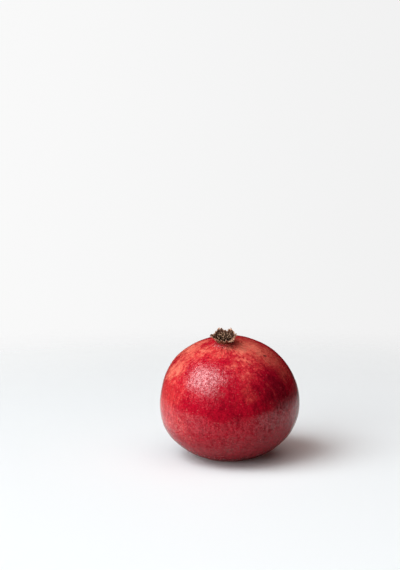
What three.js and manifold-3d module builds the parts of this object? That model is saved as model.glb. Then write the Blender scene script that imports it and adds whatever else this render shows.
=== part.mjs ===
// A whole pomegranate, picked and lying on a table: the fruit, its dried crown with the
// stamens inside, and the stub of the stalk underneath.
// Millimetres, +Z up. The fruit leans, so that its crown points up and towards -Y.
import * as THREE from "three";
import { ParametricGeometry } from "three/addons/geometries/ParametricGeometry.js";
import { mergeVertices } from "three/addons/utils/BufferGeometryUtils.js";
import Module from "manifold-3d";

const wasm = await Module();
wasm.setup();

// Driving dimensions, in the fruit's own frame: its middle at 0, its crown up +Z
const HALF_WIDTH = 48; // of the fruit, before its ribs
const HALF_HEIGHT = 41.8; // without the neck
// Power of its outline above and below its middle: 2 is an ellipse, and more is squarer
const SHOULDER_POWER = 2.17;
const UNDERSIDE_POWER = 2.12;
const LEAN_TURN = 11; // degrees from -Y towards -X of the way that the fruit leans
const LEAN = 10; // degrees that it leans
const CROWN_BEND = 8; // degrees more that its crown end leans
const STALK_BEND = 10; // degrees less that its stalk end leans, which so points down
const BEND_HEIGHT = 34; // above or below its middle, from where it has the whole bend
const FLAT_DEPTH = 0.6; // what the flat spot takes off the underside
const GAP = 0.3; // between pieces that touch

// Soft ribs: share of the radius, how many round the fruit, and where they start
const RIBS = [
  { share: 0.01, count: 2, phase: 1.63 },
  { share: 0.009, count: 3, phase: -0.3 },
  { share: 0.005, count: 5, phase: -0.15 },
  { share: 0.0025, count: 11, phase: 0.4 },
];
const LOW_SWELL = 0.057; // how much fuller the fruit is below its middle than above it

// Neck: the skin rises to it like a trumpet, and ends in the flat seat of the crown
const NECK_RADIUS = 5.7;
const NECK_RISE = 1.7;
const NECK_FLARE = 2.4; // distance over which the rise fades
const NECK_WALL = 1; // height of its upright rim

// Stalk end: a dimple in the underside with a socket for the stub
const DIMPLE_DEPTH = 3.6;
const DIMPLE_RADIUS = 6.5;
const STUB_RADIUS = 3;
const STUB_LENGTH = 2.3;
const STUB_BEVEL = 0.4;
const SOCKET_DEPTH = 1.3;
// Flutes along the stub: share of its radius, how many round it, and where they start
const FLUTES = [
  { share: 0.05, count: 5, phase: 0 },
  { share: 0.03, count: 3, phase: 1 },
];

// Crown: a leathery cup whose rim parts into curled lobes
const CUP_RADIUS = 5; // middle of its wall at the base
const CUP_HEIGHT = 4.5; // along the wall, up to the notches
const CUP_FLARE = 28; // degrees that its wall leans out at the base
const WALL_BASE = 1.2;
const WALL_TIP = 0.7;
// Each lobe: where its middle is round the cup, half its width, its length, how far it curls
// out and how far its tip is twisted sideways. Angles are in degrees, and 0 is +X.
const LOBES = [
  { at: 184, half: 27, length: 3.0, curl: 36, twist: 8 },
  { at: 237, half: 26, length: 1.6, curl: 44, twist: -10 },
  { at: 296, half: 31, length: 3.0, curl: 84, twist: 14 },
  { at: 353, half: 28, length: 2.2, curl: 30, twist: -8 },
  { at: 50, half: 29, length: 2.8, curl: 20, twist: 12 },
  { at: 116, half: 39, length: 3.0, curl: 10, twist: -6 },
];
const LOBE_POINT = 0.72; // power of a lobe's outline: 1 is a triangle, and less is blunter
const CURL_START = 0.55; // share of the cup's height where its wall starts to curl
const CURL_HURRY = 1.15; // a lobe has all of its curl a little before its tip
// Creases along the dried wall: depth at the tips, how many round the cup, and their start
const CREASES = [
  { depth: 0.22, count: 17, phase: 1.3 },
  { depth: 0.14, count: 29, phase: 0 },
];

// Stamens: a tuft on a low cushion inside the cup
const STAMEN_COUNT = 52;
const CUSHION_RADIUS = 3.9;
const CUSHION_HEIGHT = 0.9;
const ROOT_DEPTH = 0.65; // of a stamen in the cushion
const FILAMENT_RADIUS = 0.42; // to the corners of its three sides
const FILAMENT_HEIGHT = [3.2, 4.8]; // shortest and longest, from their roots
const FILAMENT_SWAY = 0.8; // furthest that a filament bends sideways
const FILAMENT_SPREAD = [0.25, 2.2]; // least and most that a filament bends outwards
const ANTHER_RADIUS = 0.5;
const ANTHER_STRETCH = 1.35; // along its filament
const STYLE_HEIGHT = 5;
const STYLE_RADIUS = 0.6;
const STYLE_BEND = 0.6; // of its tip, forwards
const SEED = 7;

const radians = THREE.MathUtils.degToRad;
const TURN = 2 * Math.PI;
const UP = new THREE.Vector3(0, 0, 1);
// The fruit leans, and bends, about one level axis
const LEAN_AXIS = new THREE.Vector3(1, 0, 0).applyAxisAngle(UP, -radians(LEAN_TURN));

// Seeded random numbers from 0 to 1, the same on every run.
function randomFrom(seed) {
  let state = seed;
  return () => {
    state = (state * 1664525 + 1013904223) % 4294967296;
    return state / 4294967296;
  };
}

// A closed geometry as a solid that others can be cut from, and back again.
function solidOf(geometry) {
  const bare = geometry.clone();
  bare.deleteAttribute("normal");
  bare.deleteAttribute("uv");
  const merged = mergeVertices(bare, 1e-4);
  return new wasm.Manifold(
    new wasm.Mesh({
      numProp: 3,
      vertProperties: merged.attributes.position.array,
      triVerts: new Uint32Array(merged.index.array),
    }),
  );
}

function geometryOf(solid) {
  const mesh = solid.getMesh();
  return new THREE.BufferGeometry()
    .setAttribute("position", new THREE.BufferAttribute(mesh.vertProperties, 3))
    .setIndex(new THREE.BufferAttribute(mesh.triVerts, 1));
}

// How much the ribs push the skin out at an angle round the fruit, as a share of its radius.
function ribs(angle) {
  return RIBS.reduce((sum, rib) => sum + rib.share * Math.cos(rib.count * angle + rib.phase), 0);
}

// The skin at a polar angle from the crown and an angle round the fruit. The ribs fade at
// both ends, the skin rises to the neck, and it sinks into a dimple at the stalk.
function skin(polar, angle, target) {
  const sine = Math.abs(Math.sin(polar));
  const cosine = Math.abs(Math.cos(polar));
  const power = polar < Math.PI / 2 ? SHOULDER_POWER : UNDERSIDE_POWER;
  const reach = (sine ** power + cosine ** power) ** (-1 / power);
  const across = sine * reach;
  const down = -Math.cos(polar) * reach;
  const swell = 1 + (ribs(angle) + LOW_SWELL * down) * across ** 2;
  const radius = HALF_WIDTH * across * swell;
  let height = -HALF_HEIGHT * down;
  if (down < 0) height += NECK_RISE * Math.exp(-(radius - NECK_RADIUS) / NECK_FLARE);
  else height += DIMPLE_DEPTH * Math.exp(-((radius / DIMPLE_RADIUS) ** 2));
  return target.set(radius * Math.cos(angle), radius * Math.sin(angle), height);
}

// Both halves bend, more and more towards the neck and the stalk, which have the whole bend.
function bend(point) {
  const above = THREE.MathUtils.smoothstep(point.z, 0, BEND_HEIGHT);
  const below = THREE.MathUtils.smoothstep(-point.z, 0, BEND_HEIGHT);
  return point.applyAxisAngle(LEAN_AXIS, radians(CROWN_BEND * above - STALK_BEND * below));
}

// Where the neck's upright rim starts, and the flat seat of the crown on top of it
const NECK_ACROSS = NECK_RADIUS / HALF_WIDTH;
const NECK_DOWN = (1 - NECK_ACROSS ** SHOULDER_POWER) ** (1 / SHOULDER_POWER);
const NECK_POLAR = Math.atan2(NECK_ACROSS, NECK_DOWN);
const SEAT_HEIGHT = skin(NECK_POLAR, 0, new THREE.Vector3()).z + NECK_WALL;

// The fruit: rows of the skin from the stalk to the neck, then its rim and the seat.
function fruitSolid() {
  const columns = 72;
  const skinRows = 40;
  const rows = skinRows + 2;
  const crowding = 0.1; // of the rows towards both ends, where the skin bends most
  const geometry = new ParametricGeometry(
    (u, v, target) => {
      const row = Math.round(v * rows);
      const share = Math.min(row / skinRows, 1);
      const eased = share - crowding * Math.sin(TURN * share);
      skin(Math.PI - (Math.PI - NECK_POLAR) * eased, u * TURN, target);
      if (row > skinRows) target.z = SEAT_HEIGHT;
      if (row > skinRows + 1) target.set(0, 0, SEAT_HEIGHT);
      bend(target);
    },
    columns,
    rows,
  );
  return solidOf(geometry);
}

// A round bar with a slightly fluted side, like a woody stalk broken off below. Its waist
// is a little narrower than its ends.
function stubGeometry(radius, from, to) {
  const profile = [
    [0, from],
    [radius * 0.9, from],
    [radius, from + STUB_BEVEL],
    [radius * 0.94, (from + to) / 2],
    [radius * 1.02, to],
    [0, to],
  ].map(([r, z]) => new THREE.Vector2(r, z));
  const geometry = new THREE.LatheGeometry(profile, 30);
  const position = geometry.attributes.position;
  for (let i = 0; i < position.count; i++) {
    // The profile turned round Y: stand it up along Z, and flute it
    const angle = Math.atan2(position.getX(i), position.getZ(i));
    const flute = FLUTES.reduce((sum, f) => sum + f.share * Math.cos(f.count * angle + f.phase), 1);
    const x = position.getZ(i) * flute;
    const y = position.getX(i) * flute;
    position.setXYZ(i, x, y, position.getY(i));
  }
  return geometry;
}

const DIMPLE_FLOOR = -HALF_HEIGHT + DIMPLE_DEPTH;
const SOCKET_FLOOR = DIMPLE_FLOOR + SOCKET_DEPTH;

// The lobe at an angle round the cup, with how far across it that angle is, from -1 to 1.
function lobeAt(angle) {
  let nearest = { across: Infinity };
  for (const lobe of LOBES) {
    const from = THREE.MathUtils.euclideanModulo(angle - radians(lobe.at) + Math.PI, TURN) - Math.PI;
    const across = from / radians(lobe.half);
    if (Math.abs(across) < Math.abs(nearest.across)) nearest = { ...lobe, across };
  }
  return nearest;
}

// Length of the wall above the cup's rim: pointed lobes with notches between them.
function lobeLength(lobe) {
  const inside = Math.max(0, 1 - Math.abs(lobe.across));
  return lobe.length * inside ** LOBE_POINT;
}

// The middle of the crown's wall, at an angle round the cup and a share of the way up it.
// The wall leaves the seat leaning out a little, then curls further out along its lobe.
function crownWall(angle, share, target) {
  const lobe = lobeAt(angle);
  const length = CUP_HEIGHT + lobeLength(lobe);
  const straight = CURL_START * CUP_HEIGHT;
  const steps = 14;
  const step = (share * length) / steps;
  let radius = CUP_RADIUS;
  let height = 0;
  let lean = radians(CUP_FLARE);
  for (let i = 0; i < steps; i++) {
    const past = Math.max(0, (i + 0.5) * step - straight) / (CUP_HEIGHT - straight + lobe.length);
    lean = radians(CUP_FLARE + lobe.curl * Math.min(1, past * CURL_HURRY));
    radius += Math.sin(lean) * step;
    height += Math.cos(lean) * step;
  }
  for (const crease of CREASES) {
    radius += crease.depth * share * Math.cos(crease.count * angle + crease.phase);
  }
  const beyond = Math.max(0, share * length - CUP_HEIGHT) / lobe.length;
  const turned = angle + radians(lobe.twist) * beyond ** 2;
  target.set(radius * Math.cos(turned), radius * Math.sin(turned), SEAT_HEIGHT + GAP + height);
  return { lean, turned };
}

// The crown is one closed wall: up its outside, over the tips and down its inside.
function crownGeometry() {
  const columns = 96;
  const rows = 9;
  const loop = 2 * (rows + 1);
  return new ParametricGeometry(
    (u, v, target) => {
      const row = Math.round(v * loop) % loop;
      const outside = row <= rows;
      const share = (outside ? row : loop - 1 - row) / rows;
      const wall = crownWall(columnAngle(u), share, target);
      const thick = THREE.MathUtils.lerp(WALL_BASE, WALL_TIP, share) / 2;
      const offset = outside ? thick : -thick;
      // Outwards across the wall, at right angles to the way that it leans
      const out = Math.cos(wall.lean) * offset;
      target.x += out * Math.cos(wall.turned);
      target.y += out * Math.sin(wall.turned);
      target.z -= Math.sin(wall.lean) * offset;
    },
    columns,
    loop,
  );
}

// Columns are shared out so that one runs up the middle of each lobe and one down each notch.
function columnAngle(u) {
  const perLobe = 1 / LOBES.length;
  const index = Math.min(LOBES.length - 1, Math.floor(u / perLobe + 1e-9));
  const inside = (u - index * perLobe) / perLobe;
  const sorted = [...LOBES].sort((a, b) => a.at - b.at);
  const lobe = sorted[index];
  const before = sorted[(index + sorted.length - 1) % sorted.length];
  const after = sorted[(index + 1) % sorted.length];
  const start = notchBetween(before, lobe, lobe.at);
  const end = notchBetween(lobe, after, lobe.at);
  const degrees =
    inside < 0.5
      ? THREE.MathUtils.lerp(start, lobe.at, inside * 2)
      : THREE.MathUtils.lerp(lobe.at, end, inside * 2 - 1);
  return radians(degrees);
}

// The angle in degrees where two neighbouring lobes meet, taken on the turn of near.
function notchBetween(a, b, near) {
  const gap = THREE.MathUtils.euclideanModulo(b.at - a.at, 360);
  const notch = a.at + (gap * a.half) / (a.half + b.half);
  return near + THREE.MathUtils.euclideanModulo(notch - near + 180, 360) - 180;
}

// A thin bar with few sides along a list of points, closed at both ends.
function barSolid(points, radius, sides) {
  const ring = new THREE.Shape(
    Array.from({ length: sides }, (_, i) => {
      const angle = (i / sides) * TURN;
      return new THREE.Vector2(radius * Math.cos(angle), radius * Math.sin(angle));
    }),
  );
  const geometry = new THREE.ExtrudeGeometry(ring, {
    steps: points.length - 1,
    extrudePath: new THREE.CatmullRomCurve3(points),
    bevelEnabled: false,
  });
  return solidOf(geometry);
}

function antherSolid(centre, along) {
  const geometry = new THREE.OctahedronGeometry(ANTHER_RADIUS, 0);
  geometry.scale(0.8, 0.8, ANTHER_STRETCH);
  geometry.applyQuaternion(new THREE.Quaternion().setFromUnitVectors(UP, along));
  geometry.translate(centre.x, centre.y, centre.z);
  return solidOf(geometry);
}

// The tuft: a cushion, a style in the middle, and dry filaments with an anther each. They
// stand on a spiral that fills the cushion evenly, and bend at random within the cup.
function stamenSolid() {
  const random = randomFrom(SEED);
  const base = SEAT_HEIGHT + GAP;
  const cushion = new THREE.LatheGeometry(
    [
      [0, 0],
      [CUSHION_RADIUS, 0],
      [CUSHION_RADIUS, CUSHION_HEIGHT * 0.6],
      [CUSHION_RADIUS * 0.7, CUSHION_HEIGHT],
      [0, CUSHION_HEIGHT],
    ].map(([r, z]) => new THREE.Vector2(r, z)),
    28,
  );
  cushion.rotateX(Math.PI / 2);
  cushion.translate(0, 0, base);
  const pieces = [solidOf(cushion)];
  const goldenAngle = Math.PI * (3 - Math.sqrt(5));
  const rooted = base + CUSHION_HEIGHT - ROOT_DEPTH;
  const outermost = CUSHION_RADIUS - FILAMENT_RADIUS;
  for (let i = 0; i < STAMEN_COUNT; i++) {
    const reach = Math.sqrt((i + 1.5) / (STAMEN_COUNT + 1.5));
    const angle = i * goldenAngle;
    const height = THREE.MathUtils.lerp(...FILAMENT_HEIGHT, random());
    const sway = FILAMENT_SWAY * (2 * random() - 1);
    const spread = THREE.MathUtils.lerp(...FILAMENT_SPREAD, reach * random());
    const points = [0, 0.4, 0.75, 1].map((share) => {
      const point = new THREE.Vector3(outermost * reach + spread * share ** 1.5, sway * share ** 2, 0);
      point.applyAxisAngle(UP, angle);
      return point.setZ(rooted + height * share);
    });
    pieces.push(barSolid(points, FILAMENT_RADIUS, 3));
    const tip = points.at(-1);
    pieces.push(antherSolid(tip, tip.clone().sub(points.at(-2)).normalize()));
  }
  const style = [0, 0.5, 1].map(
    (share) => new THREE.Vector3(0, -STYLE_BEND * share ** 2, rooted + STYLE_HEIGHT * share),
  );
  pieces.push(barSolid(style, STYLE_RADIUS, 6));
  return wasm.Manifold.union(pieces);
}

// Colours and finishes
const finish = (name, color, roughness) =>
  new THREE.MeshStandardMaterial({ name, color, roughness, metalness: 0 });
const skinFinish = finish("skin", 0xb3202a, 0.42);
const crownFinish = finish("dried_crown", 0x8a6446, 0.8);
const stamenFinish = finish("dried_stamens", 0x6e5a38, 0.85);
const stalkFinish = finish("stalk_wood", 0x7a6248, 0.85);

const resting = new THREE.Group();
resting.rotateOnAxis(LEAN_AXIS, radians(LEAN));
resting.updateMatrix();

// The table's top, as a block in the fruit's own frame, which takes the flat spot off it.
function tableBlock(fruit) {
  const leaning = geometryOf(fruit).applyMatrix4(resting.matrix);
  leaning.computeBoundingBox();
  const size = 4 * HALF_WIDTH;
  const block = new THREE.BoxGeometry(size, size, size);
  block.translate(0, 0, leaning.boundingBox.min.z + FLAT_DEPTH - size / 2);
  return solidOf(block.applyMatrix4(resting.matrix.clone().invert()));
}

const whole = fruitSolid();
const socketGeometry = stubGeometry(
  STUB_RADIUS + GAP,
  DIMPLE_FLOOR - 2 * STUB_LENGTH,
  SOCKET_FLOOR + GAP,
);
const stalkTurn = new THREE.Quaternion().setFromAxisAngle(LEAN_AXIS, radians(-STALK_BEND));
const socket = solidOf(socketGeometry.applyQuaternion(stalkTurn));
const fruit = new THREE.Mesh(
  geometryOf(whole.subtract(socket).subtract(tableBlock(whole))),
  skinFinish,
);
fruit.name = "fruit";

const crown = new THREE.Mesh(crownGeometry(), crownFinish);
crown.name = "crown";

const stamens = new THREE.Mesh(geometryOf(stamenSolid()), stamenFinish);
stamens.name = "stamens";

const stub = new THREE.Mesh(
  stubGeometry(STUB_RADIUS, SOCKET_FLOOR - STUB_LENGTH, SOCKET_FLOOR),
  stalkFinish,
);
stub.name = "stalk_stub";

// The crown and its stamens have the bend of the neck, and the stub has that of the stalk end
const crownEnd = new THREE.Group();
crownEnd.rotateOnAxis(LEAN_AXIS, radians(CROWN_BEND));
crownEnd.add(crown, stamens);
const stalkEnd = new THREE.Group();
stalkEnd.applyQuaternion(stalkTurn);
stalkEnd.add(stub);
resting.add(fruit, crownEnd, stalkEnd);

// The origin is on the table, under the middle of the whole thing's box.
const pomegranate = new THREE.Group();
pomegranate.add(resting);
const box = new THREE.Box3().setFromObject(pomegranate, true);
const middle = box.getCenter(new THREE.Vector3());
resting.position.set(-middle.x, -middle.y, -box.min.z);

export default pomegranate;
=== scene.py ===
import math
import random

import bpy
import numpy as np
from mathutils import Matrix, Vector, noise


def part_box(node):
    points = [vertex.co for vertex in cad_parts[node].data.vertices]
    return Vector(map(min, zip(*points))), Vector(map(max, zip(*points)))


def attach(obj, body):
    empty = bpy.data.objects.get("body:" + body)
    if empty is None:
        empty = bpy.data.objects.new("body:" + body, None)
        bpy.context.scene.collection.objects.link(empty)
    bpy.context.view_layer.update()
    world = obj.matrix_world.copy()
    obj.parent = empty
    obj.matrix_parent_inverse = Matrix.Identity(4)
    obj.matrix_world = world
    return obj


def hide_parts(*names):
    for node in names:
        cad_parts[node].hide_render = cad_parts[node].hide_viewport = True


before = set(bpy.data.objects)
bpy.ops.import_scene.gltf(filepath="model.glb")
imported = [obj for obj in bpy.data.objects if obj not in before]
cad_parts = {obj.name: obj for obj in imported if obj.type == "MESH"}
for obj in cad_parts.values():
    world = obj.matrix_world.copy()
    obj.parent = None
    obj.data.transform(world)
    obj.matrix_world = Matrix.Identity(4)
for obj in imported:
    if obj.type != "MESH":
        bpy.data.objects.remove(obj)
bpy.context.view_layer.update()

MM = 0.001
TURN = 2 * math.pi

# The fruit's form in millimetres and degrees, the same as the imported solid's. Each rib is its
# share of the width, how many there are round the fruit, and where round it they start.
HALF_WIDTH = 48.0
HALF_HEIGHT = 41.8
SHOULDER_POWER = 2.17  # 2 is round, and more is squarer
UNDERSIDE_POWER = 2.12
LEAN_TURN = 11  # from -Y towards -X, the way that the fruit leans
LEAN = 10
CROWN_BEND = 8  # what its crown end leans more
STALK_BEND = 10  # what its stalk end leans less
BEND_HEIGHT = 34  # above or below its middle, from where it has the whole bend
RIBS = ((0.01, 2, 1.63), (0.009, 3, -0.3), (0.005, 5, -0.15), (0.0025, 11, 0.4))
LOW_SWELL = 0.057  # how much fuller it is below its middle than above it
NECK_RADIUS = 5.7
NECK_RISE = 1.7
NECK_FLARE = 2.4  # over which the rise fades
NECK_WALL = 1.0  # height of its upright rim
DIMPLE_DEPTH = 3.6
DIMPLE_RADIUS = 6.5
STUB_RADIUS = 3.0
STUB_LENGTH = 2.3
SOCKET_DEPTH = 1.3

# The calyx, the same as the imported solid's. Each lobe is its middle, half width, length, curl
# and twist, in millimetres and degrees.
CUP_RADIUS = 5.0  # middle of its wall at the base
CUP_HEIGHT = 4.5  # along the wall, up to the gaps between the lobes
CUP_FLARE = 28
LOBES = (
    (184, 27, 3.0, 36, 8),
    (237, 26, 1.6, 44, -10),
    (296, 31, 3.0, 84, 14),
    (353, 28, 2.2, 30, -8),
    (50, 29, 2.8, 20, 12),
    (116, 39, 3.0, 10, -6),
)
LOBE_POINT = 0.72  # 1 is a triangle, and less is blunter
CURL_START = 0.55  # share of the cup's height where its wall starts to curl
CURL_HURRY = 1.15  # a lobe has all of its curl a little before its tip

LEAN_AXIS = np.array(
    (math.cos(math.radians(LEAN_TURN)), -math.sin(math.radians(LEAN_TURN)), 0.0)
)


# Laying shapes down in the part's frame

def smooth(value, low, high):
    """Rises softly from 0 at low to 1 at high."""
    share = np.clip((value - low) / (high - low), 0, 1)
    return share * share * (3 - 2 * share)


def turned(points, degrees):
    """Points turned about the axis that the fruit leans about."""
    angle = np.radians(degrees) * np.ones(len(points))
    cosine = np.cos(angle)[:, None]
    sine = np.sin(angle)[:, None]
    along = (points @ LEAN_AXIS)[:, None] * LEAN_AXIS
    return points * cosine + np.cross(LEAN_AXIS, points) * sine + along * (1 - cosine)


def bent(points):
    """Points of the skin, bent more and more towards the neck and the stalk."""
    above = smooth(points[:, 2], 0, BEND_HEIGHT)
    below = smooth(-points[:, 2], 0, BEND_HEIGHT)
    return turned(points, CROWN_BEND * above - STALK_BEND * below)


def ribs(angle):
    return sum(share * np.cos(count * angle + phase) for share, count, phase in RIBS)


def skin(polar, angle):
    """The skin at a polar angle from the crown and an angle round the fruit."""
    sine = np.abs(np.sin(polar))
    cosine = np.abs(np.cos(polar))
    power = np.where(polar < math.pi / 2, SHOULDER_POWER, UNDERSIDE_POWER)
    reach = (sine**power + cosine**power) ** (-1 / power)
    across = sine * reach
    down = -np.cos(polar) * reach
    swell = 1 + (ribs(angle) + LOW_SWELL * down) * across**2
    radius = HALF_WIDTH * across * swell
    neck = NECK_RISE * np.exp(-(radius - NECK_RADIUS) / NECK_FLARE)
    dimple = DIMPLE_DEPTH * np.exp(-((radius / DIMPLE_RADIUS) ** 2))
    height = -HALF_HEIGHT * down + np.where(down < 0, neck, dimple)
    return np.stack((radius * np.cos(angle), radius * np.sin(angle), height), -1)


# Where the skin meets the neck, and the heights of what stands on it
NECK_ACROSS = NECK_RADIUS / HALF_WIDTH
NECK_DOWN = (1 - NECK_ACROSS**SHOULDER_POWER) ** (1 / SHOULDER_POWER)
NECK_POLAR = math.atan2(NECK_ACROSS, NECK_DOWN)
SEAT_HEIGHT = skin(np.array([NECK_POLAR]), np.array([0.0]))[0, 2] + NECK_WALL
STUB_SEAT = -HALF_HEIGHT + DIMPLE_DEPTH + SOCKET_DEPTH

# How closely the solid's skin is followed to find its box
BOX_ROWS = 200
BOX_COLUMNS = 144


def place_of_middle():
    """Where the fruit's middle lies in the part's frame, in metres, from its solid's box."""
    rows = np.linspace(NECK_POLAR, math.pi, BOX_ROWS)
    columns = np.linspace(0, TURN, BOX_COLUMNS, endpoint=False)
    polar, angle = np.meshgrid(rows, columns)
    shell = bent(skin(polar.ravel(), angle.ravel()))
    rim = skin(np.full(BOX_COLUMNS, NECK_POLAR), columns)
    rim[:, 2] = SEAT_HEIGHT
    shell = turned(np.concatenate((shell, bent(rim))), LEAN) * MM
    low, high = (np.array(corner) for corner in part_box("fruit"))
    middle = (low + high) / 2 - (shell.min(0) + shell.max(0)) / 2
    middle[2] = high[2] - shell[:, 2].max()
    return middle


MIDDLE = place_of_middle()


def laid(points):
    """Points of the fruit's own frame in millimetres, laid down in metres."""
    return turned(points, LEAN) * MM + MIDDLE


def noise_at(points, size, seed):
    """Smooth noise from about -1 to 1, with lumps of a size in millimetres."""
    shift = Vector((seed * 17.3, seed * 5.1, seed * 11.7))
    return np.array([noise.noise(Vector(p) / size + shift) for p in points.tolist()])


# Handling meshes

def corners_of(piece):
    points = np.empty(len(piece.data.vertices) * 3)
    piece.data.vertices.foreach_get("co", points)
    return points.reshape(-1, 3)


def move_corners(piece, points):
    piece.data.vertices.foreach_set("co", np.asarray(points, dtype=float).ravel())
    piece.data.update()


def keep_values(piece, name, values):
    """Stores one number or one vector for every corner, which the finishes read."""
    values = np.asarray(values, dtype=float)
    kind, field = ("FLOAT", "value") if values.ndim == 1 else ("FLOAT_VECTOR", "vector")
    layer = piece.data.attributes.new(name, kind, "POINT")
    layer.data.foreach_set(field, values.ravel())


def deselect():
    if bpy.context.object and bpy.context.object.mode != "OBJECT":
        bpy.ops.object.mode_set(mode="OBJECT")
    bpy.ops.object.select_all(action="DESELECT")


def named(name):
    """Names the object that was just added, and gives it back."""
    piece = bpy.context.object
    piece.name = name
    piece.data.name = name
    return piece


def join(pieces, name):
    deselect()
    for piece in pieces:
        piece.select_set(True)
    bpy.context.view_layer.objects.active = pieces[0]
    bpy.ops.object.join()
    return named(name)


def face_outwards(piece):
    deselect()
    piece.select_set(True)
    bpy.context.view_layer.objects.active = piece
    bpy.ops.object.mode_set(mode="EDIT")
    bpy.ops.mesh.select_all(action="SELECT")
    bpy.ops.mesh.normals_make_consistent(inside=False)
    bpy.ops.object.mode_set(mode="OBJECT")


def apply(piece, modifier):
    deselect()
    piece.select_set(True)
    bpy.context.view_layer.objects.active = piece
    bpy.ops.object.modifier_apply(modifier=modifier.name)


def shade(piece, degrees=180):
    deselect()
    piece.select_set(True)
    bpy.context.view_layer.objects.active = piece
    if degrees < 180:
        bpy.ops.object.shade_smooth_by_angle(angle=math.radians(degrees))
    else:
        bpy.ops.object.shade_smooth()


# Building finishes

class Finish:
    """A finish built from nodes. Lengths in it are millimetres of the piece's own space."""

    def __init__(self, name):
        self.material = bpy.data.materials.new(name)
        self.material.use_nodes = True
        self.tree = self.material.node_tree
        self.shader = self.tree.nodes["Principled BSDF"]
        coordinates = self.add("ShaderNodeTexCoord")
        mapping = self.add("ShaderNodeMapping")
        mapping.inputs["Scale"].default_value = (1 / MM, 1 / MM, 1 / MM)
        self.tree.links.new(coordinates.outputs["Object"], mapping.inputs["Vector"])
        self.place = mapping.outputs["Vector"]

    def add(self, kind, **settings):
        node = self.tree.nodes.new(kind)
        for key, value in settings.items():
            setattr(node, key, value)
        return node

    def feed(self, socket, value):
        if isinstance(value, bpy.types.NodeSocket):
            self.tree.links.new(value, socket)
        else:
            socket.default_value = value

    def value(self, name):
        return self.add("ShaderNodeAttribute", attribute_name=name).outputs["Fac"]

    def vector(self, name):
        return self.add("ShaderNodeAttribute", attribute_name=name).outputs["Vector"]

    def noise(self, place, size, detail, rough, warp, seed=0):
        node = self.add("ShaderNodeTexNoise", noise_dimensions="4D")
        self.feed(node.inputs["Vector"], place)
        node.inputs["W"].default_value = seed
        node.inputs["Scale"].default_value = 1 / size
        node.inputs["Detail"].default_value = detail
        node.inputs["Roughness"].default_value = rough
        node.inputs["Distortion"].default_value = warp
        return node.outputs["Fac"]

    def cells(self, place, size, feature):
        node = self.add("ShaderNodeTexVoronoi", feature=feature)
        self.feed(node.inputs["Vector"], place)
        node.inputs["Scale"].default_value = 1 / size
        return node.outputs["Distance"]

    def maths(self, operation, a, b=0.0):
        node = self.add("ShaderNodeMath", operation=operation)
        self.feed(node.inputs[0], a)
        self.feed(node.inputs[1], b)
        return node.outputs[0]

    def total(self, *parts):
        """The sum of some values, each given as (value, weight)."""
        result = 0.0
        for value, weight in parts:
            result = self.maths("ADD", self.maths("MULTIPLY", value, weight), result)
        return result

    def step(self, value, low, high, start=0.0, end=1.0):
        """Goes softly from start to end while a value goes from low to high."""
        node = self.add("ShaderNodeMapRange", interpolation_type="SMOOTHSTEP")
        self.feed(node.inputs["Value"], value)
        node.inputs["From Min"].default_value = low
        node.inputs["From Max"].default_value = high
        node.inputs["To Min"].default_value = start
        node.inputs["To Max"].default_value = end
        return node.outputs["Result"]

    def blend(self, share, under, over):
        node = self.add("ShaderNodeMix", data_type="RGBA")
        self.feed(node.inputs[0], share)
        self.feed(node.inputs[6], under)
        self.feed(node.inputs[7], over)
        return node.outputs[2]

    def scaled(self, colour, tone):
        node = self.add("ShaderNodeVectorMath", operation="SCALE")
        self.feed(node.inputs[0], colour)
        self.feed(node.inputs["Scale"], tone)
        return node.outputs[0]

    def moved(self, place, size, amount):
        """A place pushed about by noise, so that a pattern on it loses its regularity."""
        node = self.add("ShaderNodeTexNoise")
        self.feed(node.inputs["Vector"], place)
        node.inputs["Scale"].default_value = 1 / size
        node.inputs["Detail"].default_value = 2
        push = self.add("ShaderNodeVectorMath", operation="MULTIPLY_ADD")
        self.feed(push.inputs[0], node.outputs["Color"])
        push.inputs[1].default_value = (amount, amount, amount)
        self.feed(push.inputs[2], place)
        return push.outputs[0]

    def distance(self, place, point, stretch=(1, 1, 1)):
        """How far a place is from a point, with each direction stretched."""
        away = self.add("ShaderNodeVectorMath", operation="SUBTRACT")
        self.feed(away.inputs[0], place)
        away.inputs[1].default_value = point
        scaled = self.add("ShaderNodeVectorMath", operation="MULTIPLY")
        self.feed(scaled.inputs[0], away.outputs[0])
        scaled.inputs[1].default_value = stretch
        length = self.add("ShaderNodeVectorMath", operation="LENGTH")
        self.feed(length.inputs[0], scaled.outputs[0])
        return length.outputs["Value"]

    def relief(self, height):
        """Gives the shader a height in millimetres."""
        node = self.add("ShaderNodeBump")
        node.inputs["Strength"].default_value = 1
        node.inputs["Distance"].default_value = MM
        self.feed(node.inputs["Height"], height)
        self.feed(self.shader.inputs["Normal"], node.outputs["Normal"])

    def paint(self, colour, rough, ior):
        self.feed(self.shader.inputs["Base Color"], colour)
        self.feed(self.shader.inputs["Roughness"], rough)
        self.shader.inputs["IOR"].default_value = ior


# The rind

RIND_COLUMNS = 360
RIND_ROWS = 250
ROW_CROWDING = 0.1  # how much the rows crowd towards both ends of the skin
SKIN_SHARE = 0.955  # of the rows from the stalk to the neck
WALL_SHARE = 0.975  # of the rows, up to where the neck's rim turns in
TABLE_SOFTNESS = 0.5  # millimetres over which the flat spot rounds off
STREAK_SQUEEZE = 0.13  # how much shorter a streak's pattern is along it than across it

# Unevenness of the skin, each as its height and the size of its lumps in millimetres
BIG_DENT = (0.32, 21)
SMALL_DENT = (0.12, 8)
RIDGE = (0.05, 8)
PIMPLE = (0.03, 4)

# Puckers round both ends, each as its height in millimetres, how many there are round the fruit,
# how much they waver, and where they are deepest and how wide they reach in millimetres
NECK_PUCKER = (0.16, 13, 1, 8.5, 3.5)
STALK_PUCKER = (0.45, 9, 2, 7, 3.5)
FINE_PUCKER = (0.07, 31, 3, 10, 6)

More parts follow.
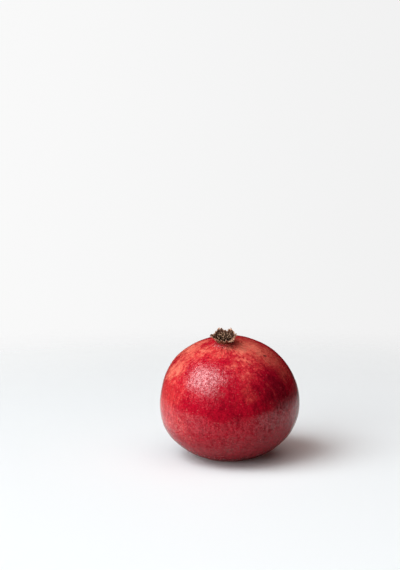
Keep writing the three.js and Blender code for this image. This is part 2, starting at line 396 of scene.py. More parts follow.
# Places of the rind's colours in millimetres of the part's frame: x, y, z, reach, amount
WARM_PLACES = (
    (-43, -17, 49, 22, 0.95),
    (-34, -31, 52, 14, 0.6),
    (-38, -28, 29, 20, 0.6),
    (-24, -2, 78, 20, 0.7),
    (-8, -20, 78, 13, 0.85),
    (-17, -18, 75, 12, 0.8),
    (8, -31, 70, 14, 0.5),
    (12, -18, 79, 15, 0.8),
    (-20, 38, 52, 24, 0.8),
    (-30, 22, 20, 16, 0.5),
    (34, 26, 26, 15, 0.6),
    (10, 20, 80, 14, 0.5),
    (0, 0, 2, 18, 0.5),
)
DEEP_PLACES = (
    (31, -32, 52, 19, 0.88),
    (42, -18, 55, 15, 0.3),
    (31, -25, 65, 9, 0.45),
    (22, -42, 40, 15, 0.45),
    (2, -46, 46, 14, 0.45),
    (-6, -44, 27, 14, 0.3),
    (46, 6, 40, 24, 0.75),
    (22, 38, 52, 18, 0.6),
    (-44, 14, 38, 12, 0.5),
    (4, 44, 24, 14, 0.45),
)
# Orange patches of the skin; the strongest, on the upper left shoulder, is partly painted sheen
ORANGE_AND_SHEEN_PLACES = (
    (-34, -10, 69, 13, 1.3),
    (-28, -4, 75, 17, 0.55),
    (-10, -18, 78, 13, 0.25),
    (-18, -16, 75, 11, 0.45),
    (5, -24, 76, 13, 0.6),
    (8, -34, 67, 12, 0.15),
    (16, -12, 79, 14, 0.5),
    (-24, 34, 58, 18, 0.5),
    (34, 26, 26, 12, 0.4),
    (0, 0, 0, 20, 0.5),
)
WORN_PLACES = (
    (25, -15, 74, 13, 0.9),
    (34, -17, 65, 11, 0.5),
    (13, -12, 80, 13, 1.0),
    (14, -43, 52, 7, 0.3),
    (-6, 28, 74, 16, 0.7),
    (-40, 24, 46, 11, 0.6),
    (38, 28, 44, 9, 0.5),
    (0, 0, 1, 14, 0.8),
)
DUSKY_PLACES = (
    (0.5, -45.8, 23, 6, 0.55),
    (-1, -41, 14, 7, 0.6),
    (-1, -46.5, 34, 5, 0.45),
    (7, -44, 26, 4.5, 0.5),
    (-2, -42, 58, 7, 0.5),
    (-7, -44.5, 52, 6, 0.5),
    (30, -36, 32, 8, 0.5),
    (-14, -43, 30, 7, 0.4),
    (20, 38, 30, 9, 0.6),
    (-30, 34, 34, 8, 0.55),
    (45, 12, 30, 8, 0.55),
)


def weight_of(places, spots):
    """How much of a colour there is at each place, in metres, from the spots where it lies."""
    amount = np.zeros(len(places))
    for x, y, z, reach, most in spots:
        away = np.linalg.norm(places / MM - (x, y, z), axis=1)
        amount = np.maximum(amount, most * np.exp(-((away / reach) ** 2)))
    return amount


def unevenness(points, kind, seed):
    height, size = kind
    return height * noise_at(points, size, seed)


def pucker(kind, angle, across, wobble):
    """Folds that run out from one end of the fruit, at a distance across from its axis."""
    height, count, waver, deepest, reach = kind
    folds = np.cos(count * angle + waver * wobble)
    return height * folds * np.exp(-(((across - deepest) / reach) ** 2))


def set_on_table(places):
    """Flattens what lies below the table's top, with a soft edge round it."""
    soft = TABLE_SOFTNESS * MM
    height = places[:, 2]
    rounded = np.where(height > -soft, (height + soft) ** 2 / (4 * soft), 0)
    places[:, 2] = np.where(height > soft, height, rounded)
    return places


def make_rind():
    deselect()
    bpy.ops.mesh.primitive_uv_sphere_add(
        segments=RIND_COLUMNS, ring_count=RIND_ROWS, radius=1, calc_uvs=False
    )
    rind = named("rind")
    ball = corners_of(rind)
    angle = np.arctan2(ball[:, 1], ball[:, 0])
    share = 1 - np.arccos(np.clip(ball[:, 2], -1, 1)) / math.pi

    # Rows of the skin crowd towards both ends, where it bends most
    along = np.clip(share / SKIN_SHARE, 0, 1)
    eased = along - ROW_CROWDING * np.sin(TURN * along)
    polar = math.pi - (math.pi - NECK_POLAR) * eased
    points = skin(polar, angle)
    across = np.hypot(points[:, 0], points[:, 1])

    # Soft dents, low ridges that run from stalk to crown, and puckers round both ends
    outwards = points / np.square((HALF_WIDTH, HALF_WIDTH, HALF_HEIGHT))
    outwards /= np.linalg.norm(outwards, axis=1)[:, None]
    path = streak_path(polar, angle)
    dents = unevenness(points, BIG_DENT, 1) + unevenness(points, SMALL_DENT, 2)
    ridges = unevenness(path, RIDGE, 3) + unevenness(points, PIMPLE, 5)
    away_from_ends = smooth(across, 5.5, 14)
    wobble = 0.8 * noise_at(points, 12, 4)
    upper = points[:, 2] > 0
    neck_pucker = pucker(NECK_PUCKER, angle, across, wobble)
    stalk_pucker = pucker(STALK_PUCKER, angle, across, wobble)
    puckers = np.where(upper, neck_pucker, stalk_pucker)
    puckers += pucker(FINE_PUCKER, angle, across, wobble)
    puckers *= smooth(across, 3.5, 6.5)
    points += outwards * ((dents + ridges) * away_from_ends + puckers)[:, None]

    # The socket of the stalk, the neck's upright rim, and the seat of the calyx
    in_socket = np.where(upper, 0, 1 - smooth(across, STUB_RADIUS, STUB_RADIUS + 0.7))
    points[:, 2] += SOCKET_DEPTH * in_socket
    rim = skin(np.full(len(angle), NECK_POLAR), angle)
    climb = np.clip((share - SKIN_SHARE) / (WALL_SHARE - SKIN_SHARE), 0, 1)
    inward = np.clip((share - WALL_SHARE) / (1 - WALL_SHARE), 0, 1)
    above = share > SKIN_SHARE
    points[above] = rim[above]
    points[above, 2] += NECK_WALL * climb[above]
    points[above, :2] *= (1 - inward[above])[:, None]

    move_corners(rind, set_on_table(laid(bent(points))))

    # What the finish reads: where each colour lies, and how wrinkled the skin is
    places = corners_of(rind)
    keep_values(rind, "streak_path", path)
    keep_values(rind, "warm", weight_of(places, WARM_PLACES))
    keep_values(rind, "orange", weight_of(places, ORANGE_AND_SHEEN_PLACES))
    keep_values(rind, "deep", weight_of(places, DEEP_PLACES))
    keep_values(rind, "worn", weight_of(places, WORN_PLACES))
    keep_values(rind, "dusky", weight_of(places, DUSKY_PLACES))
    # Nearness to the neck, where the finish paints shade under the calyx and dulls the skin
    near_neck = np.where(upper, np.exp(-(((across - NECK_RADIUS) / 1.8) ** 2)), 0)
    keep_values(rind, "neck", near_neck)
    keep_values(rind, "seat", smooth(inward, 0, 0.1))
    height = points[:, 2]
    wrinkled = 0.1 + 0.9 * np.maximum(smooth(height, 4, 20), smooth(-height, 22, 36))
    keep_values(rind, "wrinkled", wrinkled)
    shade(rind)
    rind.data.materials.append(rind_finish())
    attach(rind, "root")
    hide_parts("fruit")


def streak_path(polar, angle):
    """A space in which noise makes streaks that run from the stalk to the crown."""
    return np.stack(
        (
            HALF_WIDTH * np.cos(angle),
            HALF_WIDTH * np.sin(angle),
            STREAK_SQUEEZE * HALF_WIDTH * polar,
        ),
        -1,
    )


# Colours of the skin, and of the bare seat inside the calyx
CRIMSON = (0.37, 0.003, 0.016, 1)
CORAL = (0.49, 0.024, 0.029, 1)
# Orange of the skin, made pale enough to stand in partly as painted sheen on the shoulder
ORANGE_AND_SHEEN = (0.7, 0.16, 0.11, 1)
DEEP = (0.15, 0.002, 0.009, 1)
FLECK = (0.66, 0.1, 0.085, 1)
RUSSET = (0.53, 0.12, 0.078, 1)
BROWN = (0.17, 0.05, 0.03, 1)
DUSK = (0.18, 0.05, 0.045, 1)
BUFF = (0.74, 0.32, 0.25, 1)
SCAR = (0.05, 0.012, 0.01, 1)
UMBER = (0.06, 0.022, 0.012, 1)

# Scars: x, y, z in millimetres of the part's frame, how far each reaches, and by how much its
# reach is divided along each way
SCARS = (
    ((23.6, -18.4, 73.0), 1.3, (0.5, 1, 1.1)),
    ((30.5, -24.0, 64.0), 0.5, (1, 1, 1)),
    ((-12.0, 40.5, 56.0), 1.2, (1, 0.6, 1.4)),
    ((41.0, 22.0, 34.0), 0.8, (1, 1, 0.6)),
)
SCAR_RAGGEDNESS = 0.9


def rind_finish():
    finish = Finish("rind_skin")
    place = finish.place
    path = finish.vector("streak_path")

    cloud = finish.noise(place, 13, 3, 0.6, 1.0)
    patch = finish.noise(place, 4.5, 3, 0.6, 0.6, 2)
    mottle = finish.noise(place, 1.7, 2, 0.6, 0.4, 4)
    speck = finish.noise(place, 0.7, 1, 0.5, 0, 5)
    streak = finish.noise(path, 1.25, 2, 0.6, 0.5, 1)
    broad = finish.noise(path, 4.2, 2, 0.5, 0.3, 3)

    # Coral and deep crimson where they were placed, with edges that the blotches break up
    blotch = finish.total((cloud, 0.3), (patch, 0.3), (mottle, 0.15), (streak, 0.15), (broad, 0.1))
    warm = finish.step(finish.total((finish.value("warm"), 0.6), (blotch, 2.0)), 1.1, 1.5)
    deep = finish.step(finish.total((finish.value("deep"), 0.6), (blotch, -1.7)), -0.78, -0.25)

    colour = finish.blend(warm, CRIMSON, CORAL)

    # Short bright flecks where the skin is turning from crimson to coral, and orange patches,
    # which on the upper left shoulder are partly painted sheen
    spots = finish.noise(finish.moved(place, 2.5, 2.0), 1.3, 2, 0.6, 0.6, 6)
    turning = finish.step(finish.total((finish.value("warm"), 0.5), (blotch, 1.0)), 0.5, 0.8)
    fleck = finish.maths("MULTIPLY", turning, finish.step(spots, 0.55, 0.68, 0, 0.6))
    colour = finish.blend(fleck, colour, FLECK)
    glow = finish.total((finish.value("orange"), 0.8), (patch, 1.0))
    glow = finish.maths("MULTIPLY", warm, finish.step(glow, 0.6, 1.0, 0, 0.9))
    colour = finish.blend(glow, colour, ORANGE_AND_SHEEN)
    colour = finish.blend(deep, colour, DEEP)

    # Fine net of russet on worn skin, and duller skin round it
    worn = finish.step(finish.total((finish.value("worn"), 0.7), (cloud, 0.7)), 0.4, 0.85)
    warped = finish.moved(finish.moved(place, 1.1, 1.8), 0.5, 0.6)
    net = finish.step(finish.cells(warped, 1.5, "DISTANCE_TO_EDGE"), 0.02, 0.2, 1, 0)
    net = finish.maths("MULTIPLY", net, finish.step(patch, 0.4, 0.6))
    dulled = finish.maths("MULTIPLY", worn, finish.step(mottle, 0.35, 0.65, 0.2, 0.6))
    colour = finish.blend(dulled, colour, RUSSET)
    net = finish.maths("MULTIPLY", worn, net)
    colour = finish.blend(finish.maths("MULTIPLY", net, 0.4), colour, BROWN)

    # Dusky patches, painted shade round the neck under the calyx, and the bare seat of the calyx
    dusky = finish.total((finish.value("dusky"), 0.9), (patch, 0.9), (spots, 0.6))
    dusky = finish.step(dusky, 1.05, 1.45, 0, 0.5)
    colour = finish.blend(dusky, colour, DUSK)
    neck = finish.value("neck")
    colour = finish.blend(finish.maths("MULTIPLY", neck, 0.3), colour, DEEP)
    colour = finish.blend(finish.value("seat"), colour, UMBER)

    # Lighter and darker grains and streaks all over
    grain = finish.step(speck, 0.35, 0.7)
    tone = finish.total((mottle, 0.45), (streak, 0.6), (grain, 0.35), (broad, 0.15))
    colour = finish.scaled(colour, finish.step(tone, 0.4, 1.05, 0.68, 1.34))

    # Pale breathing pores, on about half of the cells
    pores = finish.cells(place, 2.3, "F1")
    kept = finish.step(finish.noise(place, 2.6, 0, 0.5, 0, 9), 0.42, 0.52)
    pores = finish.maths("MULTIPLY", finish.step(pores, 0.07, 0.15, 1, 0), kept)
    colour = finish.blend(finish.maths("MULTIPLY", pores, 0.38), colour, BUFF)

    # Scars with ragged edges. The push moves every place by half its amount on average.
    scars = 0.0
    wavy = finish.moved(place, 0.8, SCAR_RAGGEDNESS)
    for point, reach, stretch in SCARS:
        middle = tuple(value + SCAR_RAGGEDNESS / 2 for value in point)
        near = finish.step(finish.distance(wavy, middle, stretch), 0.35 * reach, reach, 1, 0)
        scars = finish.maths("MAXIMUM", near, scars)
    colour = finish.blend(finish.maths("MULTIPLY", scars, 0.85), colour, SCAR)

    # Duller where it is worn, scarred or wrinkled, and round the neck
    rough = finish.total((mottle, 0.1), (worn, 0.14), (scars, 0.2), (1.0, 0.1))
    dull = finish.step(finish.total((patch, 0.5), (spots, 0.6)), 0.45, 0.65, 0, 0.16)
    rough = finish.maths("ADD", rough, finish.maths("MULTIPLY", dull, finish.value("wrinkled")))
    rough = finish.total((rough, 1.0), (neck, 0.2))

    # Waxy and dull grains side by side, which break up what mirrors in the skin
    waxy = finish.total((mottle, 0.6), (speck, 0.45), (streak, 0.25), (spots, 0.4))
    waxy = finish.step(waxy, 0.68, 1.0, 0.12, 0.95)
    finish.feed(finish.shader.inputs["Specular IOR Level"], waxy)

    # Wrinkles, strongest towards both ends, and a fine grain all over
    folds = finish.total(
        (streak, 0.06),
        (finish.noise(path, 2.6, 1, 0.5, 0.6, 7), 0.12),
        (finish.noise(place, 3.2, 1, 0.5, 0.5, 8), 0.12),
        (mottle, 0.13),
        (speck, 0.025),
    )
    finish.relief(
        finish.total(
            (finish.maths("MULTIPLY", folds, finish.value("wrinkled")), 1.0),
            (mottle, 0.012),
            (speck, 0.015),
            (net, 0.02),
            (pores, 0.015),
            (scars, -0.2),
        )
    )
    finish.paint(colour, rough, 1.48)
    return finish.material


# The calyx

CALYX_COLUMNS = 240
CALYX_ROWS = 16
CALYX_THICKNESS = 0.5
RIM_THINNING = 0.7  # how much thinner the wall is at its rim than at its foot
CURL_STEPS = 14
LOBE_GAP = 0.22  # how full the gaps between the lobes are

# Tears and ruffles of the rim: depth in millimetres, how many round the cup, where they start
TEARS = ((0.8, 19, 0.4), (0.7, 31, 2.0), (0.45, 53, 1.1))
RUFFLES = ((0.45, 17, 1.3), (0.34, 29, 0.0), (0.2, 47, 2.2))


def lobe_at(angle):
    """The lobe at an angle round the cup, and how far across it that angle is."""
    nearest = None
    for lobe in LOBES:
        away = (angle - math.radians(lobe[0]) + math.pi) % TURN - math.pi
        across = away / math.radians(lobe[1])
        if nearest is None or abs(across) < abs(nearest[1]):
            nearest = (lobe, across)
    return nearest


def calyx_point(angle, share):
    """A point of the calyx's wall, at an angle and a share of the way up to its rim."""
    (_, _, lobe_length, curl, twist), across = lobe_at(angle)
    length = CUP_HEIGHT + lobe_length * max(LOBE_GAP, 1 - abs(across)) ** LOBE_POINT
    for depth, count, phase in TEARS:
        length -= depth * max(0, math.cos(count * angle + phase)) ** 3
    straight = CURL_START * CUP_HEIGHT
    step = share * length / CURL_STEPS
    radius = CUP_RADIUS
    height = 0.0
    lean = math.radians(CUP_FLARE)
    for i in range(CURL_STEPS):
        past = max(0, (i + 0.5) * step - straight) / (CUP_HEIGHT - straight + lobe_length)
        lean = math.radians(CUP_FLARE + curl * min(1, past * CURL_HURRY))
        radius += math.sin(lean) * step
        height += math.cos(lean) * step
    for depth, count, phase in RUFFLES:
        ruffle = depth * share**1.6 * math.cos(count * angle + phase + share)
        radius += ruffle * math.cos(lean)
        height -= ruffle * math.sin(lean)
    beyond = max(0, share * length - CUP_HEIGHT) / lobe_length
    around = angle + math.radians(twist) * beyond**2
    return (radius * math.cos(around), radius * math.sin(around), SEAT_HEIGHT + height)


def make_calyx():
    deselect()
    bpy.ops.mesh.primitive_circle_add(vertices=CALYX_COLUMNS, radius=1, fill_type="NOTHING")
    calyx = named("calyx")
    bpy.ops.object.mode_set(mode="EDIT")
    bpy.ops.mesh.select_all(action="SELECT")
    for _ in range(CALYX_ROWS):
        bpy.ops.mesh.extrude_edges_move(TRANSFORM_OT_translate={"value": (0, 0, 1)})
    bpy.ops.object.mode_set(mode="OBJECT")

    # Each corner of the tube goes to its place on the wall, which is then crumpled
    tube = corners_of(calyx)
    angle = np.arctan2(tube[:, 1], tube[:, 0])
    share = tube[:, 2] / CALYX_ROWS
    points = np.array([calyx_point(a, s) for a, s in zip(angle.tolist(), share.tolist())])
    crumple = noise_at(points, 2.2, 6) * 0.3 + noise_at(points, 0.9, 7) * 0.12
    across = np.hypot(points[:, 0], points[:, 1])
    points[:, :2] *= (1 + crumple * share / across)[:, None]
    points[:, 2] += 0.25 * noise_at(points, 1.4, 8) * share
    move_corners(calyx, laid(turned(points, CROWN_BEND)))
    keep_values(calyx, "rim", share)
    veins = np.stack((7 * np.cos(angle), 7 * np.sin(angle), share), -1)
    keep_values(calyx, "streak_path", veins)
    face_outwards(calyx)

    # The wall, thinner towards its rim. The wall's first half of corners is its inner side.
    thick = calyx.vertex_groups.new(name="thick")
    for index, value in enumerate(share.tolist()):
        thick.add([index], 1 - RIM_THINNING * value, "REPLACE")
    wall = calyx.modifiers.new("wall", "SOLIDIFY")
    wall.thickness = CALYX_THICKNESS * MM
    wall.offset = 0
    wall.vertex_group = "thick"
    wall.use_even_offset = False
    apply(calyx, wall)
    corner = np.arange(len(calyx.data.vertices))
    keep_values(calyx, "painted_inner_shade", corner < len(share))
    shade(calyx, 60)
    calyx.data.materials.append(calyx_finish())
    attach(calyx, "root")
    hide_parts("crown")


# Colours of the calyx: its skin, its pale edges, and the red that it grew from
TAN = (0.4, 0.19, 0.1, 1)
STRAW = (0.62, 0.37, 0.25, 1)
WINE = (0.22, 0.02, 0.015, 1)


def calyx_finish():
    finish = Finish("calyx_skin")
    rim = finish.value("rim")
    path = finish.vector("streak_path")
    vein = finish.noise(path, 0.55, 2, 0.6, 0.3, 1)
    mottle = finish.noise(finish.place, 0.8, 3, 0.6, 0.4, 2)
    fine = finish.noise(finish.place, 0.3, 2, 0.6, 0, 3)
    tanned = finish.step(finish.total((vein, 0.6), (mottle, 0.5)), 0.4, 0.7)
    colour = finish.blend(tanned, UMBER, TAN)
    edge = finish.step(finish.total((rim, 1.0), (mottle, 0.5)), 0.95, 1.3)
    colour = finish.blend(finish.maths("MULTIPLY", edge, 0.7), colour, STRAW)
    base = finish.step(finish.total((rim, 1.0), (mottle, 0.3)), 0.2, 0.5, 1, 0)
    colour = finish.blend(finish.maths("MULTIPLY", base, 0.85), colour, WINE)

    # Painted shade: dark on the cup's inner side, up to near its edge, with pale curls towards the
    # rim
    below_edge = finish.step(edge, 0.1, 0.9, 0.95, 0.0)
    painted_inner_shade = finish.maths("MULTIPLY", finish.value("painted_inner_shade"), below_edge)
    colour = finish.blend(painted_inner_shade, colour, UMBER)
    curls = finish.step(finish.total((vein, 0.4), (fine, 0.6)), 0.54, 0.66, 0, 0.6)
    colour = finish.blend(finish.maths("MULTIPLY", curls, rim), colour, STRAW)
    finish.relief(finish.total((vein, 0.2), (mottle, 0.1), (fine, 0.06)))
    finish.paint(colour, finish.total((mottle, 0.2), (1.0, 0.6)), 1.4)
    return finish.material


# The stamens

STAMENS = 120
STAMEN_SEED = 11
FILAMENT_ROWS = 5
FILAMENT_RADIUS = 0.15
ANTHER_SIZE = (0.36, 0.3, 0.58)
CUSHION_RADIUS = 4.2
CUSHION_HEIGHT = 1.3

# Colours of the dried stamens, from the darkest to the palest
FILAMENT_DARK = (0.012, 0.005, 0.003, 1)
FILAMENT_PALE = (0.3, 0.16, 0.09, 1)
ANTHER_DARK = (0.03, 0.014, 0.008, 1)
ANTHER_PALE = (0.6, 0.38, 0.24, 1)


def make_stamen():
    """The two shapes of a stamen: a stem that stands on 0 and is 1 high, and a round anther."""
    deselect()
    bpy.ops.mesh.primitive_circle_add(vertices=4, radius=FILAMENT_RADIUS, fill_type="NGON")
    stem = named("stamen")
    bpy.ops.object.mode_set(mode="EDIT")
    bpy.ops.mesh.select_all(action="SELECT")
    for _ in range(FILAMENT_ROWS):
        bpy.ops.mesh.extrude_region_move(
            TRANSFORM_OT_translate={"value": (0, 0, 1 / FILAMENT_ROWS)}
        )
    bpy.ops.object.mode_set(mode="OBJECT")
    keep_values(stem, "head", np.zeros(len(stem.data.vertices)))
    deselect()
    bpy.ops.mesh.primitive_ico_sphere_add(subdivisions=1, radius=1, calc_uvs=False)
    head = named("anther")
    keep_values(head, "head", np.ones(len(head.data.vertices)))
    return stem, head


def copy_of(piece, name):
    copy = piece.copy()
    copy.data = piece.data.copy()
    copy.name = name
    bpy.context.collection.objects.link(copy)
    return copy


def make_stamens():
    stem, head = make_stamen()
    stem_points = corners_of(stem)
    head_points = corners_of(head)
    draw = random.Random(STAMEN_SEED)
    golden = math.pi * (3 - math.sqrt(5))
    copies = []
    for i in range(STAMENS):
        reach = math.sqrt((i + 0.5) / STAMENS)
        around = i * golden + draw.uniform(-0.3, 0.3)
        height = draw.uniform(2.0, 4.7)
        spread = reach * draw.uniform(0.2, 2.2)
        sway = draw.uniform(-1.3, 1.3)
        curl = draw.uniform(-0.7, 0.7)
        turn = draw.uniform(0, TURN)
        thick = draw.uniform(0.7, 1.15)
        tone = draw.random()

        # The stem bows outwards, sways aside and wriggles on its way up
        share = stem_points[:, 2]
        bow = spread * share**1.6
        side = sway * share**2 + curl * np.sin(share * math.pi * 1.5)
        root = (CUSHION_RADIUS - 0.4) * reach
        spin = np.array(((math.cos(turn), -math.sin(turn)), (math.sin(turn), math.cos(turn))))
        ring = stem_points[:, :2] @ spin * thick
        local = np.stack((root + bow + ring[:, 0], side + ring[:, 1], height * share + 0.3), -1)

        # The anther sits on the stem's tip
        tip = np.array((root + spread, sway + curl * math.sin(math.pi * 1.5), height + 0.3))
        size = draw.uniform(0.55, 1.05)
        tilt = draw.uniform(-0.8, 0.8)
        ball = head_points * np.multiply(ANTHER_SIZE, size)
        leaned = ball[:, 0] * math.cos(tilt) + ball[:, 2] * math.sin(tilt)
        raised = -ball[:, 0] * math.sin(tilt) + ball[:, 2] * math.cos(tilt)
        ball = np.stack((leaned, ball[:, 1], raised), -1) + tip

        # Both are turned to their place round the cushion
        for source, points, name in ((stem, local, "stem"), (head, ball, "head")):
            x = points[:, 0] * math.cos(around) - points[:, 1] * math.sin(around)
            y = points[:, 0] * math.sin(around) + points[:, 1] * math.cos(around)
            copy = copy_of(source, f"{name}_{i}")
            standing = np.stack((x, y, points[:, 2] + SEAT_HEIGHT), -1)
            move_corners(copy, laid(turned(standing, CROWN_BEND)))
            keep_values(copy, "tone", np.full(len(points), tone))
            copies.append(copy)
    for source in (stem, head):
        bpy.data.objects.remove(source)

    deselect()
    bpy.ops.mesh.primitive_uv_sphere_add(segments=64, ring_count=32, radius=1, calc_uvs=False)
    cushion = named("cushion")
    points = corners_of(cushion) * (CUSHION_RADIUS, CUSHION_RADIUS, CUSHION_HEIGHT)
    points *= (1 + 0.1 * noise_at(points, 0.9, 9))[:, None]
    points[:, 2] += SEAT_HEIGHT + 0.1
    move_corners(cushion, laid(turned(points, CROWN_BEND)))
    keep_values(cushion, "head", np.zeros(len(points)))
    keep_values(cushion, "tone", np.zeros(len(points)))
    tuft = join([cushion] + copies, "stamen_tuft")
    shade(tuft, 50)
    tuft.data.materials.append(stamen_finish())
    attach(tuft, "root")
    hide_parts("stamens")


def stamen_finish():
    finish = Finish("stamen_dry")
    tone = finish.value("tone")
    mottle = finish.noise(finish.place, 0.5, 2, 0.6, 0, 1)
    fine = finish.noise(finish.place, 0.2, 1, 0.5, 0, 2)
    pale = finish.step(finish.total((tone, 0.7), (mottle, 0.3)), 0.25, 0.95)
    stems = finish.blend(pale, FILAMENT_DARK, FILAMENT_PALE)
    heads = finish.blend(pale, ANTHER_DARK, ANTHER_PALE)
    colour = finish.blend(finish.value("head"), stems, heads)
    finish.relief(finish.total((mottle, 0.15), (fine, 0.05)))
    finish.paint(colour, 0.75, 1.4)
    return finish.material


# The stub of the stalk

STALK_CORNERS = 96
END_RINGS = 6

# Colours of the stub: the grain of its broken end, and its bark
WOOD_DARK = (0.16, 0.1, 0.055, 1)
WOOD_PALE = (0.42, 0.31, 0.19, 1)
BARK = (0.12, 0.08, 0.05, 1)


def make_stalk_end():
    deselect()
    bpy.ops.mesh.primitive_cylinder_add(
        vertices=STALK_CORNERS, radius=1, depth=1, end_fill_type="NGON"
    )
    stub = named("stalk_end")

    # Rings on the broken end, which faces down
    bpy.ops.object.mode_set(mode="EDIT")
    bpy.ops.mesh.select_all(action="DESELECT")
    bpy.ops.object.mode_set(mode="OBJECT")
    for face in stub.data.polygons:
        face.select = face.normal.z < -0.9
    bpy.ops.object.mode_set(mode="EDIT")
    bpy.ops.mesh.inset(thickness=0.1, depth=0)
    for _ in range(END_RINGS):
        bpy.ops.mesh.inset(thickness=0.12, depth=0)
    bpy.ops.object.mode_set(mode="OBJECT")

    # A fluted side that narrows a little, and a rough end
    points = corners_of(stub)
    angle = np.arctan2(points[:, 1], points[:, 0])
    across = np.hypot(points[:, 0], points[:, 1])
    side = across > 0.95
    ends = points[:, 2] < 0
    flute = 1 + 0.05 * np.cos(5 * angle) + 0.03 * np.cos(3 * angle + 1)
    flute += 0.015 * np.cos(23 * angle)
    points[:, :2] *= (flute * STUB_RADIUS * np.where(side & ends, 0.93, 1))[:, None]
    points[:, 2] = STUB_SEAT + np.where(ends, -STUB_LENGTH, 0.0)
    rings = 0.1 * np.cos(across * 40) + 0.2 * noise_at(points, 0.8, 12)
    points[:, 2] += np.where(ends & ~side, rings + 0.15, 0) + np.where(ends & side, 0.25, 0)
    move_corners(stub, laid(turned(points, -STALK_BEND)))
    keep_values(stub, "across", across)
    shade(stub, 40)
    stub.data.materials.append(stalk_finish())
    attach(stub, "root")
    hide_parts("stalk_stub")


def stalk_finish():
    finish = Finish("stalk_grain")
    across = finish.value("across")
    mottle = finish.noise(finish.place, 0.6, 3, 0.6, 0.3, 1)
    fine = finish.noise(finish.place, 0.25, 1, 0.5, 0, 2)
    colour = finish.blend(mottle, WOOD_DARK, WOOD_PALE)
    colour = finish.blend(finish.step(across, 0.8, 1.0, 0, 0.6), colour, BARK)
    finish.relief(finish.total((mottle, 0.2), (fine, 0.1)))
    finish.paint(colour, 0.8, 1.4)
    return finish.material


# The table, the light and the camera

# Sizes of the stage in metres, and where the wall is left open, in degrees from the front
TABLE_RADIUS = 3.0
MIRRORED_FRONT = 0.155
MIRRORED_DROP = 0.0005
BACKDROP_RADIUS = 6.0
WALL_RADIUS = 2.4
WALL_HEIGHT = 4.4
WALL_OPENING = (-112, 104)

# Colours and brightness of the stage. A pair goes from one value to another, over lengths in
# millimetres.
TABLE_FADE = (180, 700)  # from the fruit outwards
TABLE_WHITE = (0.75, 0.83, 0.85, 1)
# The table's glow is painted light that lifts its shadows, red like light thrown off the fruit
TABLE_GLOW_TINT = (1, 0.4, 0.35, 1)
TABLE_GLOW = 0.02
# Greys of the mirrored table, painted shade on what mirrors in the fruit
MIRRORED_SHADE_GREY = (0.36, 0.76)  # in front of the fruit, and beside it
MIRRORED_FADE = (50, 500)  # from the fruit outwards
BACKDROP_WHITE = (1, 1, 1, 1)
BACKDROP_TURN = (-2500, 2500)  # from the left to the right
BACKDROP_GLOW = (0.955, 0.87)
WALL_RISE = (300, 1500)  # from its foot upwards
WALL_GLOW = (0.05, 1.2)
WALL_TINT = (1, 0.82, 0.78, 1)

# Lights: place or distance in metres, size in metres, power in watts, colour
KEY_WAY = (-0.56, -0.335, 0.76)
KEY = (4.0, (4.1, 3.3), 114, (0.975, 0.99, 1))
KEY_CORE = (3.98, (2.6, 2.1), 78, (0.975, 0.99, 1))
FILL = ((0.4, -0.6, 3.2), (4.0, 4.0), 60, (1, 0.77, 0.72))
LOW_FILL = ((-2.0, -2.3, 0.85), (2.6, 1.4), 56, (1, 1, 1))

# The camera, in millimetres of lens and sensor, degrees, metres and pixels
CAMERA_LENS = 56.9
CAMERA_SENSOR = 36
CAMERA_ELEVATION = 12
CAMERA_DISTANCE = 0.628
PICTURE = (400, 570)
FRUIT_AT = (230.0, 395.6)  # where the middle of the fruit's box falls


def hide_from(thing, *kinds):
    for kind in kinds:
        setattr(thing, "visible_" + kind, False)


def table_finish():
    """White and a little lit from inside, fading into the backdrop further off. The glow is
    painted light: it lifts the shadows on the table, with a red tint that stands in for light
    thrown off the fruit.
    """
    finish = Finish("table_white")
    finish.paint(TABLE_WHITE, 0.6, 1.3)
    finish.shader.inputs["Emission Color"].default_value = TABLE_GLOW_TINT
    finish.shader.inputs["Emission Strength"].default_value = TABLE_GLOW
    away = finish.distance(finish.place, (0, 0, 0))
    finish.feed(finish.shader.inputs["Alpha"], finish.step(away, *TABLE_FADE, 1, 0))
    return finish.material


def mirrored_finish():
    """Grey in front of the fruit, paler beside and behind it, and darker far off: painted shade on
    the table as it mirrors in the fruit.
    """
    finish = Finish("table_shade_grey")
    place = finish.add("ShaderNodeSeparateXYZ")
    finish.feed(place.inputs[0], finish.place)
    aside = finish.maths("ABSOLUTE", place.outputs["X"])
    beside = finish.step(finish.total((aside, 1.0), (place.outputs["X"], -0.25)), 10, 130)
    behind = finish.step(place.outputs["Y"], -20, 60, 0, 0.5)
    grey = finish.step(finish.maths("MAXIMUM", beside, behind), 0, 1, *MIRRORED_SHADE_GREY)
    away = finish.distance(finish.place, (0, 0, 0))
    grey = finish.maths("MULTIPLY", grey, finish.step(away, *MIRRORED_FADE, 1, 0.08))
    finish.paint(finish.scaled((1, 1, 1), grey), 0.8, 1.3)
    return finish.material


def glow_finish(name, colour, way, limits, strengths):
    """Glows from one strength to another along one way."""
    finish = Finish(name)
    place = finish.add("ShaderNodeSeparateXYZ")
    finish.feed(place.inputs[0], finish.place)
    glow = finish.add("ShaderNodeEmission")
    glow.inputs["Color"].default_value = colour
    finish.feed(glow.inputs["Strength"], finish.step(place.outputs[way], *limits, *strengths))
    output = finish.tree.nodes["Material Output"]
    finish.tree.links.new(glow.outputs[0], output.inputs["Surface"])
    finish.tree.nodes.remove(finish.shader)
    return finish.material


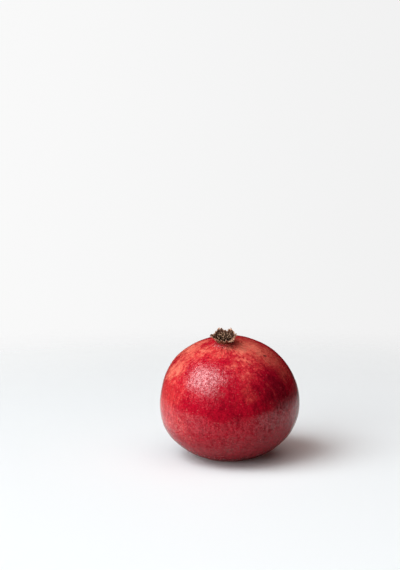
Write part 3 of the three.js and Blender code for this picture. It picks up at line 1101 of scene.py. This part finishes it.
def make_table():
    deselect()
    bpy.ops.mesh.primitive_circle_add(vertices=128, radius=TABLE_RADIUS, fill_type="NGON")
    floor = named("table")
    floor.data.materials.append(table_finish())
    hide_from(floor, "diffuse", "glossy", "shadow")

    # The table as it mirrors in the fruit: it ends a little in front of it
    deselect()
    bpy.ops.mesh.primitive_plane_add(size=1)
    far_floor = named("table_mirrored")
    corners = corners_of(far_floor)
    corners[:, 0] *= 2 * TABLE_RADIUS
    corners[:, 1] = np.where(corners[:, 1] < 0, -MIRRORED_FRONT, TABLE_RADIUS)
    corners[:, 2] = -MIRRORED_DROP
    move_corners(far_floor, corners)
    far_floor.data.materials.append(mirrored_finish())
    hide_from(far_floor, "camera")

    # A pale ball round everything, which only the camera sees
    deselect()
    bpy.ops.mesh.primitive_uv_sphere_add(segments=64, ring_count=32, radius=BACKDROP_RADIUS)
    dome = named("backdrop")
    pale = glow_finish("backdrop_pale", BACKDROP_WHITE, "X", BACKDROP_TURN, BACKDROP_GLOW)
    dome.data.materials.append(pale)
    hide_from(dome, "diffuse", "glossy", "transmission", "volume_scatter", "shadow")

    # A bright wall behind the fruit, which lights it and mirrors in its edges
    deselect()
    bpy.ops.mesh.primitive_cylinder_add(
        vertices=72,
        radius=WALL_RADIUS,
        depth=WALL_HEIGHT,
        location=(0, 0, WALL_HEIGHT / 2),
        end_fill_type="NOTHING",
    )
    wall = named("bright_wall")
    bpy.ops.object.transform_apply(location=True)
    left, right = WALL_OPENING
    for face in wall.data.polygons:
        azimuth = math.degrees(math.atan2(face.center.x, -face.center.y))
        face.select = left < azimuth < right
    bpy.ops.object.mode_set(mode="EDIT")
    bpy.ops.mesh.select_mode(type="FACE")
    bpy.ops.mesh.delete(type="FACE")
    bpy.ops.object.mode_set(mode="OBJECT")
    wall.data.materials.append(glow_finish("wall_bright", WALL_TINT, "Z", WALL_RISE, WALL_GLOW))
    hide_from(wall, "camera", "shadow")


def add_area(name, place, size, power, colour):
    light = bpy.data.lights.new(name, "AREA")
    light.shape = "RECTANGLE"
    light.size, light.size_y = size
    light.energy = power
    light.color = colour
    lamp = bpy.data.objects.new(name, light)
    bpy.context.collection.objects.link(lamp)
    lamp.location = place
    lamp.rotation_euler = (-Vector(place)).to_track_quat("-Z", "Y").to_euler()
    return lamp


def light_scene():
    key_way = Vector(KEY_WAY).normalized()
    for name, (away, *rest) in (("key", KEY), ("key_core", KEY_CORE)):
        add_area(name, key_way * away, *rest)
    for name, (place, *rest) in (("fill", FILL), ("low_fill", LOW_FILL)):
        hide_from(add_area(name, Vector(place), *rest), "glossy")

    # No light comes from anywhere else
    world = bpy.data.worlds.new("dark")
    world.use_nodes = True
    world.node_tree.nodes["Background"].inputs["Strength"].default_value = 0.0
    bpy.context.scene.world = world
    bpy.context.scene.view_settings.view_transform = "Standard"


def place_camera():
    low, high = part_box("fruit")
    middle = (Vector(low) + Vector(high)) / 2
    camera = bpy.data.objects.new("camera", bpy.data.cameras.new("camera"))
    bpy.context.collection.objects.link(camera)
    camera.data.lens = CAMERA_LENS
    camera.data.sensor_width = CAMERA_SENSOR
    rise = math.radians(CAMERA_ELEVATION)
    camera.location = middle + CAMERA_DISTANCE * Vector((0, -math.cos(rise), math.sin(rise)))
    pixels = PICTURE[1] * CAMERA_LENS / CAMERA_SENSOR
    yaw = math.atan((FRUIT_AT[0] - PICTURE[0] / 2) / pixels)
    drop = math.atan((FRUIT_AT[1] - PICTURE[1] / 2) / pixels)
    camera.rotation_euler = (math.pi / 2 - rise + drop, 0, yaw)
    bpy.context.scene.camera = camera


make_rind()
make_calyx()
make_stamens()
make_stalk_end()
make_table()
light_scene()
place_camera()
